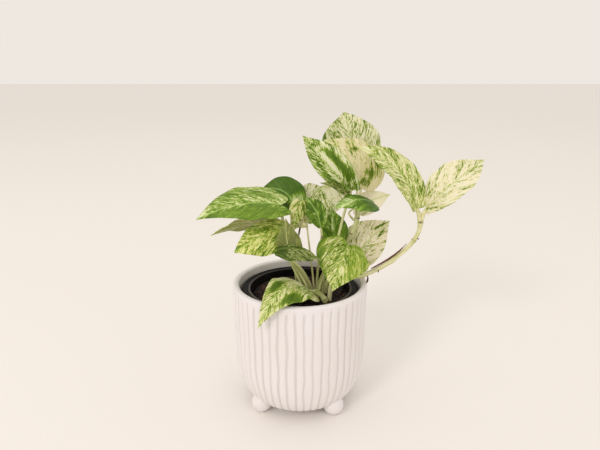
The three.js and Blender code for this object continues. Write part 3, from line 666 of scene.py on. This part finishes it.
class POTHOS_OT_cover_pot(bpy.types.Operator):
    """Make the fluted ceramic cover pot on its ball feet"""
    bl_idname = "pothos.cover_pot"
    bl_label = "Cover pot"

    def execute(self, context):
        flutes = sizes().flutes
        wall, floor, gap = POT_WALL, POT_FLOOR, UNDERSIDE_GAP
        belly = gap + BELLY_HEIGHT
        under, side = UNDERSIDE_RADIUS, POT_RADIUS - POT_TAPER
        profile = [(0, gap), (under * 0.4, gap), (under * 0.8, gap)]
        profile += [
            (under + (side - under) * math.sin(a), belly - (belly - gap) * math.cos(a))
            for a in (math.pi / 2 * i / 20 for i in range(21))
        ]
        top = RIM - LIP_ROUNDING
        profile += [
            (side + (POT_RADIUS - side) * i / 20, belly + (top - belly) * i / 20) for i in range(1, 21)
        ]
        middle = POT_RADIUS - wall / 2
        profile += [
            (middle + wall / 2 * math.cos(a), top + LIP_ROUNDING * math.sin(a))
            for a in (math.pi * i / 10 for i in range(1, 11))
        ]
        profile += [
            (under - wall + (side - under) * math.sin(a),
             belly - (belly - gap - floor) * math.cos(a))
            for a in (math.pi / 2 * (1 - i / 12) for i in range(13))
        ]
        profile += [(under * 0.4, gap + floor), (0, gap + floor)]
        outer_steps = 3 + 21 + 20
        # Points crowd towards each groove, so that its edges stay crisp.
        spots = [0, 0.06, 0.1, 0.13, 0.17, 0.22, 0.34, 0.5, 0.66, 0.78, 0.83, 0.87, 0.9, 0.94]
        columns = flutes * len(spots)
        dice = random.Random(4)
        starts = [FLUTE_TOP_MARGIN + dice.uniform(-1.2, 1.0) * MM for _ in range(flutes)]
        depths = [dice.uniform(0.75, 1.15) for _ in range(flutes)]
        grooves = []

        def shape(across, step, radius, height):
            column = round(across * columns) % columns
            flute, spot = divmod(column, len(spots))
            share = spots[spot]
            nearest = flute if share < 0.5 else (flute + 1) % flutes
            wander = sizes().groove_wander * noise.noise(
                Vector((math.cos(flute * 2.4) * 3 + 5, flute * 0.37, height / (22 * MM))))
            after = sizes().groove_wander * noise.noise(
                Vector((math.cos((flute + 1) % flutes * 2.4) * 3 + 5, (flute + 1) % flutes * 0.37,
                        height / (22 * MM))))
            turn = (flute + share + wander * (1 - share) + after * share) / flutes
            off = min(share, 1 - share)
            groove = math.exp(-(off / 0.14) ** 4) * depths[nearest]
            crown = 0.32 * MM * (2 * off - 1) ** 2
            fade = 0.0
            if step < outer_steps:
                fade = min(1, max(0, (RIM - height - starts[nearest]) / (2.5 * MM)))
                fade = fade * fade * (3 - 2 * fade)
                fade *= min(1, radius / under) ** 6
            grooves.append(groove * fade)
            return turn, radius - fade * (groove * sizes().groove_depth + crown), height

        pot, _ = turned_shell("cover_pot_body", profile, columns, shape)
        set_values(pot, "groove", [min(1, g) for g in grooves])
        close_and_smooth(pot, angle=60)
        feet = []
        for i in range(FOOT_COUNT):
            angle = math.radians(FIRST_FOOT + 360 // FOOT_COUNT * i)
            place = Vector((FOOT_CIRCLE * math.cos(angle), FOOT_CIRCLE * math.sin(angle), FOOT_HEIGHT))
            start_piece()
            bpy.ops.mesh.primitive_uv_sphere_add(
                segments=40, ring_count=26, radius=FOOT_RADIUS, location=AXIS + place)
            bpy.ops.object.transform_apply(location=True, rotation=True, scale=True)
            foot = name_piece(f"foot_{i}")
            edit_mesh(foot, (bpy.ops.mesh.bisect, dict(
                plane_co=(0, 0, 0.01 * MM), plane_no=(0, 0, 1), use_fill=True, clear_inner=True)))
            for vertex in foot.data.vertices:
                vertex.co.z = max(0, vertex.co.z)
            close_and_smooth(foot, angle=40)
            feet.append(foot)
        pot = join_pieces([pot, *feet], "cover_pot_fluted")
        finish_piece(pot, "glazed_pot", ["cover_pot"], glazed_stoneware())
        return {"FINISHED"}


class POTHOS_OT_nursery_pot(bpy.types.Operator):
    """Make the thin black nursery pot with its wide lip"""
    bl_idname = "pothos.nursery_pot"
    bl_label = "Nursery pot"

    def execute(self, context):
        low, high = NURSERY_LOW.z, NURSERY_HIGH.z
        lip = sizes().lip_width
        wall, base = NURSERY_WALL, NURSERY_BASE
        inner = NURSERY_RADIUS - lip
        bead = 0.9 * MM
        profile = [(DRAIN_RADIUS, low), (base - 2 * MM, low), (base - 0.5 * MM, low + 0.5 * MM)]
        for i in range(13):
            share = i / 12
            profile.append((base + (inner - base) * share, low + 1.5 * MM + (high - low - 7.5 * MM) * share))
        profile += [(NURSERY_RADIUS - 0.8 * MM, high - 6 * MM), (NURSERY_RADIUS, high - 5.4 * MM)]
        profile += [
            (NURSERY_RADIUS - bead + bead * math.cos(a), high - bead + bead * math.sin(a))
            for a in (math.pi / 2 * i / 5 for i in range(6))
        ]
        # The flat lip dips a little before the raised inner edge.
        profile += [(NURSERY_RADIUS - 2 * MM, high - 0.2 * MM), (inner + 2 * MM, high - 0.4 * MM)]
        profile += [
            (inner + bead * math.cos(a), high - bead + bead * math.sin(a))
            for a in (math.pi * i / 8 for i in range(1, 9))
        ]
        for i in range(1, 11):
            share = 1 - i / 10
            profile.append((base + (inner - base) * share - wall, low + wall + (high - low - 4 * MM) * share))
        profile += [(DRAIN_RADIUS, low + wall), (DRAIN_RADIUS, low)]
        pot, shares = turned_shell("nursery_pot_moulded", profile, 128)
        # Where the painted grey highlight goes: the raised inner edge of the lip.
        edge = inner + 0.5 * bead
        set_values(pot, "rim_highlight", [
            bump_near(profile[round(step * (len(profile) - 1))][0], edge, 0.45 * MM)
            * (profile[round(step * (len(profile) - 1))][1] > high - 1 * MM) for _, step in shares])
        close_and_smooth(pot, angle=35)
        finish_piece(pot, "nursery_plastic", ["nursery_pot"], moulded_polypropylene())
        return {"FINISHED"}


class POTHOS_OT_soil(bpy.types.Operator):
    """Make the damp soil with loose crumbs and bark chips on it"""
    bl_idname = "pothos.soil"
    bl_label = "Soil"

    def execute(self, context):
        low = SOIL_LOW.z
        edge = (SOIL_HIGH.x - SOIL_LOW.x) / 2 - 0.2 * MM
        rim = RIM - SOIL_DROP
        profile = [(0, low), (34 * MM, low), (edge, rim - 1 * MM)]
        profile += [(edge * (1 - i / 60), rim + SOIL_MOUND * (1 - (1 - i / 60) ** 2)) for i in range(61)]
        dice = random.Random(11)

        def shape(turn, step, radius, height):
            if step < 3:
                return turn, radius, height
            angle = turn * 2 * math.pi
            spot = Vector((radius * math.cos(angle), radius * math.sin(angle), 0)) / (5 * MM)
            lumps = noise.fractal(spot, 0.9, 2.1, 5) * 1.3 * MM
            return turn, radius, height + lumps * min(1, (edge - radius) / (3 * MM) + 0.2)

        soil, _ = turned_shell("soil_bed", profile, 200, shape)
        close_and_smooth(soil, angle=70)
        peat = damp_peat("damp_peat", "#140B08", colours().soil, 700.0)
        finish_piece(soil, "potting_soil", ["soil"], peat)

        crumb_sets = {"soil_crumbs": [], "bark_chips": []}
        for i in range(sizes().crumbs):
            chip = dice.random() < 0.25
            angle, out = dice.uniform(0, 2 * math.pi), edge * 0.97 * math.sqrt(dice.random())
            size = dice.uniform(0.7, 1.9) * MM
            height = rim + SOIL_MOUND * (1 - (out / edge) ** 2) + size * 0.15
            crumb_sets["bark_chips" if chip else "soil_crumbs"].append((angle, out, height, size, chip))
        bark = damp_peat("milled_bark", "#3A2015", "#5C3826", 500.0)
        for name, places in crumb_sets.items():
            start_piece()
            bpy.ops.mesh.primitive_ico_sphere_add(subdivisions=2, radius=1)
            pattern = name_piece(name)
            build = bmesh.new()
            for angle, out, height, size, chip in places:
                spans = CHIP_SPANS if chip else CRUMB_SPANS
                stretch = [dice.uniform(low_end, high_end) for low_end, high_end in spans]
                turn = Matrix.Rotation(dice.uniform(0, 6.3), 4, "Z") @ Matrix.Rotation(
                    dice.uniform(-0.5, 0.5), 4, "X")
                centre = AXIS + Vector((out * math.cos(angle), out * math.sin(angle), height))
                lot = Vector((dice.uniform(0, 50), 0, 0))
                first = len(build.verts)
                build.from_mesh(pattern.data)
                build.verts.ensure_lookup_table()
                for vertex in build.verts[first:]:
                    rough = 1 + 0.35 * noise.noise(vertex.co * 1.4 + lot)
                    local = Vector(c * s for c, s in zip(vertex.co * rough * size, stretch))
                    vertex.co = centre + turn @ local
            build.to_mesh(pattern.data)
            build.free()
            close_and_smooth(pattern, gap=0.0001 * MM, angle=30)
            finish_piece(pattern, "potting_soil", [], bark if name == "bark_chips" else peat)
        return {"FINISHED"}


# ---------------------------------------------------------------- stems

class POTHOS_OT_vines(bpy.types.Operator):
    """Make the main stem, the long runner and the upper vine, with their nodes"""
    bl_idname = "pothos.vines"
    bl_label = "Vines"

    def execute(self, context):
        skin = fresh_stem()
        for name, vine in VINES.items():
            line = smooth_line([at_rim(p) for p in vine["points"]], vine["rings"])

            def radius_at(along, turn, vine=vine):
                swell = sum(grow * bump_near(along, at, reach) for at, reach, grow in vine["swellings"])
                ribs = 0.04 * math.cos(4 * math.pi * turn) + 0.02 * math.sin(10 * math.pi * turn + along * 30)
                closing = min(1, (1 - along) * len(vine["points"]) * 4 + 0.25)
                return vine["radius"] * MM * (0.92 + swell + ribs) * closing

            piece, shares = tube(name + "_skin", line, radius_at, sides=20)
            set_values(piece, "pale", [
                vine["pale"] * (0.85 + 0.3 * noise.noise(Vector((a * 14, t * 2, vine["radius"]))))
                for t, a in shares])
            set_values(piece, "cork", [
                max(0.55 * bump_near(a, at, reach * 0.25) for at, reach, grow in vine["swellings"])
                + 0.15 * max(0, noise.noise(Vector((a * 30, t * 3, 7)))) for t, a in shares])
            close_and_smooth(piece, fill=True)
            finish_piece(piece, "green_stem", [name], skin)
        return {"FINISHED"}


class POTHOS_OT_vine_details(bpy.types.Operator):
    """Make the dried sheath, the pale sheath at the runner's foot and the short air roots"""
    bl_idname = "pothos.vine_details"
    bl_label = "Sheaths and roots"

    def execute(self, context):
        paper = papery_sheath()
        line = smooth_line([at_rim(p) for p in DRY_SHEATH], 60)
        dry, _ = tube("dry_sheath_skin", line, lambda a, t: 0.8 * MM * (
            0.35 + 0.75 * math.sin(math.pi * min(1, a * 1.15)) ** 0.4 + 0.08 * math.sin(a * 40 + t * 6)),
            sides=12, flatten=0.6)
        close_and_smooth(dry, fill=True)
        finish_piece(dry, "dried_sheath", ["dry_sheath"], paper)
        stubs = []
        for i, points in enumerate(ROOT_STUBS):
            line = smooth_line([at_rim(p) for p in points], 14)
            stub, _ = tube(f"air_root_{i}", line, lambda a, t: 0.55 * MM * (1.15 - 0.6 * a) * (
                0.9 + 0.15 * math.sin(a * 25 + t * 12)), sides=10)
            close_and_smooth(stub, fill=True)
            stubs.append(stub)
        roots = join_pieces(stubs, "air_roots")
        finish_piece(roots, "dried_sheath", [], paper)
        # A pale sheath lies along the upper side of the runner, with olive edges.
        points = [(40, -12.5, 9.4), (48, -10, 10.2), (56, -6, 9.6), (63, -1.5, 8.6)]
        line = smooth_line([at_rim(p) for p in points], 40)
        pale, shares = tube("pale_sheath", line, lambda a, t: 2.3 * MM * (
            0.15 + 0.85 * math.sin(math.pi * a) ** 0.6), sides=20, flatten=0.35)
        set_values(pale, "pale", [0.9 - 0.9 * abs(math.cos(2 * math.pi * t)) ** 6 for t, a in shares])
        set_values(pale, "cork", [0.5 * bump_near(a, 1, 0.05) for t, a in shares])
        close_and_smooth(pale, fill=True)
        finish_piece(pale, "green_stem", [], fresh_stem())
        return {"FINISHED"}


# ---------------------------------------------------------------- leaves

BROADEST, HEART_BASE, HEART_LOBE, LOBE_REACH = 0.27, 0.62, 0.2, 0.5


class Blade:
    """The curved surface of one leaf blade."""

    def __init__(self, leaf):
        self.leaf = leaf
        self.base, self.tip = at_rim(leaf["base"]), at_rim(leaf["tip"])
        self.control = at_rim(leaf["middle"]) * 2 - (self.base + self.tip) / 2
        self.facing = Vector(leaf["facing"])
        steps = [self.rib(i / 20) for i in range(21)]
        self.length = sum((b - a).length for a, b in zip(steps, steps[1:]))

    def rib(self, t):
        return self.base * (1 - t) ** 2 + self.control * 2 * t * (1 - t) + self.tip * t * t

    def forward(self, t):
        return ((self.control - self.base) * (1 - t) + (self.tip - self.control) * t).normalized()

    def normal(self, t):
        ahead = self.forward(t)
        return (self.facing - ahead * self.facing.dot(ahead)).normalized()

    def width_share(self, along):
        broadest = self.leaf.get("broadest", BROADEST)
        base = self.leaf.get("base_share", HEART_BASE)
        if along < broadest:
            return 1 - (1 - base) * ((broadest - along) / broadest) ** 2
        ahead = (along - broadest) / (1 - broadest)
        return max(0, math.cos(math.pi / 2 * ahead ** 1.25)) ** 1.2

    def lobe(self, side, along):
        if along >= LOBE_REACH:
            return 0
        reach = self.leaf.get("lobe", HEART_LOBE)
        return reach * (1 - along / LOBE_REACH) ** 2 * side ** 0.8 * (1 - 0.75 * side ** 3)

    def point(self, across, along, lift=0.0):
        """The surface point at across (-1 left edge, 1 right edge) and along, and its flat place."""
        side = abs(across)
        shifted = along - self.lobe(side, along)
        t = max(shifted, 0)
        ahead, normal = self.forward(t), self.normal(t)
        centre = self.rib(t) + ahead * (min(shifted, 0) * self.length)
        right = ahead.cross(normal)
        index = 0 if across < 0 else 1
        half = self.leaf["half_widths"][index] * MM
        distance = side * half * self.width_share(along)
        fold = math.radians(self.leaf["folds"][index])
        bend = math.radians(self.leaf["droops"][index]) / half
        lateral = (math.sin(fold) - math.sin(fold - bend * distance)) / bend
        rise = (math.cos(fold - bend * distance) - math.cos(fold)) / bend
        place = centre + right * (lateral * (1 if index else -1)) + normal * (rise + lift)
        return place, (math.copysign(distance, across), shifted * self.length)


def blade_relief(leaf, lot, across, along, flat):
    """How far the blade's surface stands off its plain curve: edge waves, midrib and vein channels."""
    side = abs(across)
    waves = math.sin(2 * math.pi * (2.3 * along + lot))
    waves += 0.6 * math.sin(2 * math.pi * (4.1 * along + 3 * lot))
    wave = sizes().edge_wave * side ** 2 * waves * math.sin(math.pi * min(1, along * 1.05)) * (
        1 if across < 0 else -0.8)
    out, ahead = abs(flat[0]), flat[1]
    vein = (ahead - VEIN_SLOPE * out - VEIN_BEND * out * out / MM) / sizes().vein_spacing
    channel = -0.16 * MM * (0.5 + 0.5 * math.cos(2 * math.pi * vein)) ** 2
    channel *= min(1, out / (3 * MM)) * (1 - side)
    midrib = -0.4 * MM * math.exp(-(out / (1.1 * MM)) ** 2) * (1 - along)
    return wave + channel + midrib


def make_blade(name, leaf, order, upper, lower):
    blade = Blade(leaf)
    lot = (order * 0.618) % 1
    columns, rows = 36, 48
    flats = []

    def place(across, along):
        spread = 2 * across - 1
        spread = math.copysign(abs(spread) ** 1.15, spread)
        _, flat = blade.point(spread, along)
        flats.append((spread, along, flat))
        surface, _ = blade.point(spread, along, blade_relief(leaf, lot, spread, along, flat))
        return surface

    piece, _ = sheet_grid("blade_" + name, columns, rows, place)
    tones, vivids, tints = [], [], []
    left, right = leaf["tone"]
    for across, along, flat in flats:
        blend = 1 / (1 + math.exp(-across * 25))
        tone, vivid = left + (right - left) * blend, leaf["vivid"]
        for at_x, at_y, reach_x, reach_y, change, keep in leaf["marks"]:
            near = math.exp(-(((across - at_x) / reach_x) ** 2 + ((along - at_y) / reach_y) ** 2) ** 2)
            tone += change * near
            vivid *= 1 + (keep - 1) * near
        tones.append(tone)
        vivids.append(vivid)
    set_values(piece, "tone", tones)
    set_values(piece, "vivid", vivids)
    set_values(piece, "seed", [order * 7.31] * len(flats))
    # The leaf's tint; the dark ones are painted shade.
    layer = piece.data.attributes.new("tint", "FLOAT_COLOR", "POINT")
    layer.data.foreach_set("color", linear(leaf["tint"]) * len(flats))
    set_map(piece, "blade", [(0.5 + flat[0] * 10, 0.1 + flat[1] * 10) for _, _, flat in flats])
    edit_mesh(piece, (bpy.ops.mesh.remove_doubles, dict(threshold=0.02 * MM)))
    towards = blade.normal(0.5)
    if sum(f.normal.dot(towards) * f.area for f in piece.data.polygons) < 0:
        edit_mesh(piece, (bpy.ops.mesh.flip_normals, {}))
    piece.data.materials.append(upper)
    piece.data.materials.append(lower)
    thicken = piece.modifiers.new("thickness", "SOLIDIFY")
    thicken.thickness = sizes().blade_thickness
    thicken.offset = 0
    thicken.material_offset = 1
    thicken.material_offset_rim = 0
    bpy.ops.object.modifier_apply(modifier="thickness")
    bpy.ops.object.shade_smooth_by_angle(angle=math.radians(60))
    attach(piece, "root")
    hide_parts("leaf_" + name)
    return blade


def make_stalk(name, leaf, blade, skin):
    """The leaf stalk from its root to the blade, going on as the rib under the blade."""
    stalk = leaf["stalk"]
    if stalk:
        radius = stalk["radius"] * stalk.get("wing", 1) * MM
        first = stalk.get("start") or (*stalk["points"][0][:2], -21)
        points = [at_rim(first)] + [at_rim(p) for p in stalk["points"]]
    else:
        radius = 1.5 * MM
        points = [at_rim(p) for p in ((17, -19, -6), (13, -20.5, -3))]
    below = sizes().blade_thickness / 2
    ribs = 24
    steps = 46
    rib_radius = [max(0.22 * MM, radius * 0.62 * (1 - i / ribs) ** 1.2) for i in range(1, ribs + 1)]
    arrive = blade.base - blade.normal(0) * (0.4 * MM + radius * 0.7)
    line = smooth_line([*points, arrive], steps)
    for i, r in enumerate(rib_radius, 1):
        t = 0.97 * i / ribs
        line.append(blade.rib(t) - blade.normal(t) * (below + r * 0.35 + 0.4 * MM * (1 - t)))
    total = len(line) - 1
    radii = []
    for i in range(steps + 1):
        share = i / steps
        foot = 0.3 * (1 - share) ** 4
        knee = 0.18 * bump_near(share, 0.9, 0.06)
        radii.append(radius * (0.92 + foot + knee) if i < steps else radius * 0.85)
    radii += rib_radius

    def radius_at(along, turn):
        return radii[round(along * total)] * (1 + 0.06 * math.cos(4 * math.pi * turn))

    piece, shares = tube("stalk_" + name + "_skin", line, radius_at, sides=14)
    lot = noise.noise(Vector((radius / MM * 9, points[0].x * 90, 3)))
    pale = {"speckled_small": 0.9, "left_under": 0.6, "back_pale": 0.5, "vine_right": 0.9,
            "vine_left": 0.7, "top_speckled": 0.8, "top_patched": 0.8}.get(name, 0.35)
    cork = {"small_dark": 0.75, "hood": 0.8}.get(name, 0.0)
    set_values(piece, "pale", [
        min(1, max(0, pale + 0.25 * lot + 0.2 * noise.noise(Vector((a * 9, t * 2, lot * 20)))))
        for t, a in shares])
    set_values(piece, "cork", [cork * bump_near(a, 0.45, 0.13) + 0.2 * bump_near(a, 0.02, 0.02)
                               for t, a in shares])
    close_and_smooth(piece, fill=True)
    finish_piece(piece, "green_stem", ["stalk_" + name] if stalk else [], skin)


class POTHOS_OT_leaves(bpy.types.Operator):
    """Make every leaf blade with its stalk"""
    bl_idname = "pothos.leaves"
    bl_label = "Leaves and stalks"

    def execute(self, context):
        upper, lower, skin = waxy_blade(), matt_underside(), fresh_stem()
        for order, (name, leaf) in enumerate(LEAVES.items(), 1):
            blade = make_blade(name, leaf, order, upper, lower)
            make_stalk(name, leaf, blade, skin)
        return {"FINISHED"}


# ---------------------------------------------------------------- stage

class POTHOS_OT_stage(bpy.types.Operator):
    """Make the plain floor, the soft lights and the camera"""
    bl_idname = "pothos.stage"
    bl_label = "Floor, lights and camera"

    def execute(self, context):
        start_piece()
        bpy.ops.mesh.primitive_plane_add(size=40, location=(0, 0, 0))
        floor = name_piece("floor")
        material, *_ = new_material(
            "matt_painted_board", Roughness=0.7, **{"Base Color": linear(colours().stage)})
        floor.data.materials.append(material)
        world = bpy.data.worlds.new("pale_room")
        world.use_nodes = True
        world.node_tree.nodes["Background"].inputs["Color"].default_value = linear("#EEE8E1")
        world.node_tree.nodes["Background"].inputs["Strength"].default_value = 1.0
        bpy.context.scene.world = world
        centre = AXIS + Vector((0.02, 0, 0.14))
        for name, place, size, power, code in (
            ("key", (-1.5, -2.2, 1.9), 0.7, 22.0, "#FFFAF5"),
            ("fill", (2.0, -2.4, 1.2), 1.5, 2.0, "#FFFAF4"),
            ("top", (0.0, 0.4, 2.4), 1.5, 3.0, "#FFFAF4"),
        ):
            start_piece()
            bpy.ops.object.light_add(type="AREA", location=AXIS + Vector(place))
            light = bpy.context.object
            light.name = name
            light.data.size = size
            light.data.energy = power
            light.data.color = linear(code)[:3]
            aim = centre - light.location
            light.rotation_euler = aim.to_track_quat("-Z", "Y").to_euler()
        bpy.ops.object.camera_add(
            location=AXIS + Vector((0, -0.453, 0.301)), rotation=(math.radians(74), 0, 0))
        camera = bpy.context.object
        camera.name = "camera"
        camera.data.lens = 31.2
        camera.data.sensor_width = 36
        camera.data.dof.use_dof = False
        camera.data.clip_start = 0.01
        bpy.context.scene.camera = camera
        bpy.context.scene.view_settings.view_transform = "Standard"
        return {"FINISHED"}


class POTHOS_PT_sidebar(bpy.types.Panel):
    """Lists the pothos pieces in the sidebar"""
    bl_label = "Pothos"
    bl_space_type = "VIEW_3D"
    bl_region_type = "UI"
    bl_category = "Pothos"

    def draw(self, context):
        for group in (context.scene.pothos_sizes, context.scene.pothos_colours):
            box = self.layout.box()
            for name in group.__annotations__:
                box.prop(group, name)
        for step in STEPS:
            self.layout.operator(step.bl_idname)


STEPS = (
    POTHOS_OT_stage, POTHOS_OT_cover_pot, POTHOS_OT_nursery_pot, POTHOS_OT_soil,
    POTHOS_OT_vines, POTHOS_OT_vine_details, POTHOS_OT_leaves,
)
CLASSES = (PothosSizes, PothosColours, *STEPS, POTHOS_PT_sidebar)


def register():
    for kind in CLASSES:
        bpy.utils.register_class(kind)
    bpy.types.Scene.pothos_sizes = bpy.props.PointerProperty(type=PothosSizes)
    bpy.types.Scene.pothos_colours = bpy.props.PointerProperty(type=PothosColours)


def unregister():
    del bpy.types.Scene.pothos_colours
    del bpy.types.Scene.pothos_sizes
    for kind in reversed(CLASSES):
        bpy.utils.unregister_class(kind)


def main():
    register()
    for step in STEPS:
        group, operator = step.bl_idname.split(".")
        getattr(getattr(bpy.ops, group), operator)()


if __name__ == "__main__":
    main()
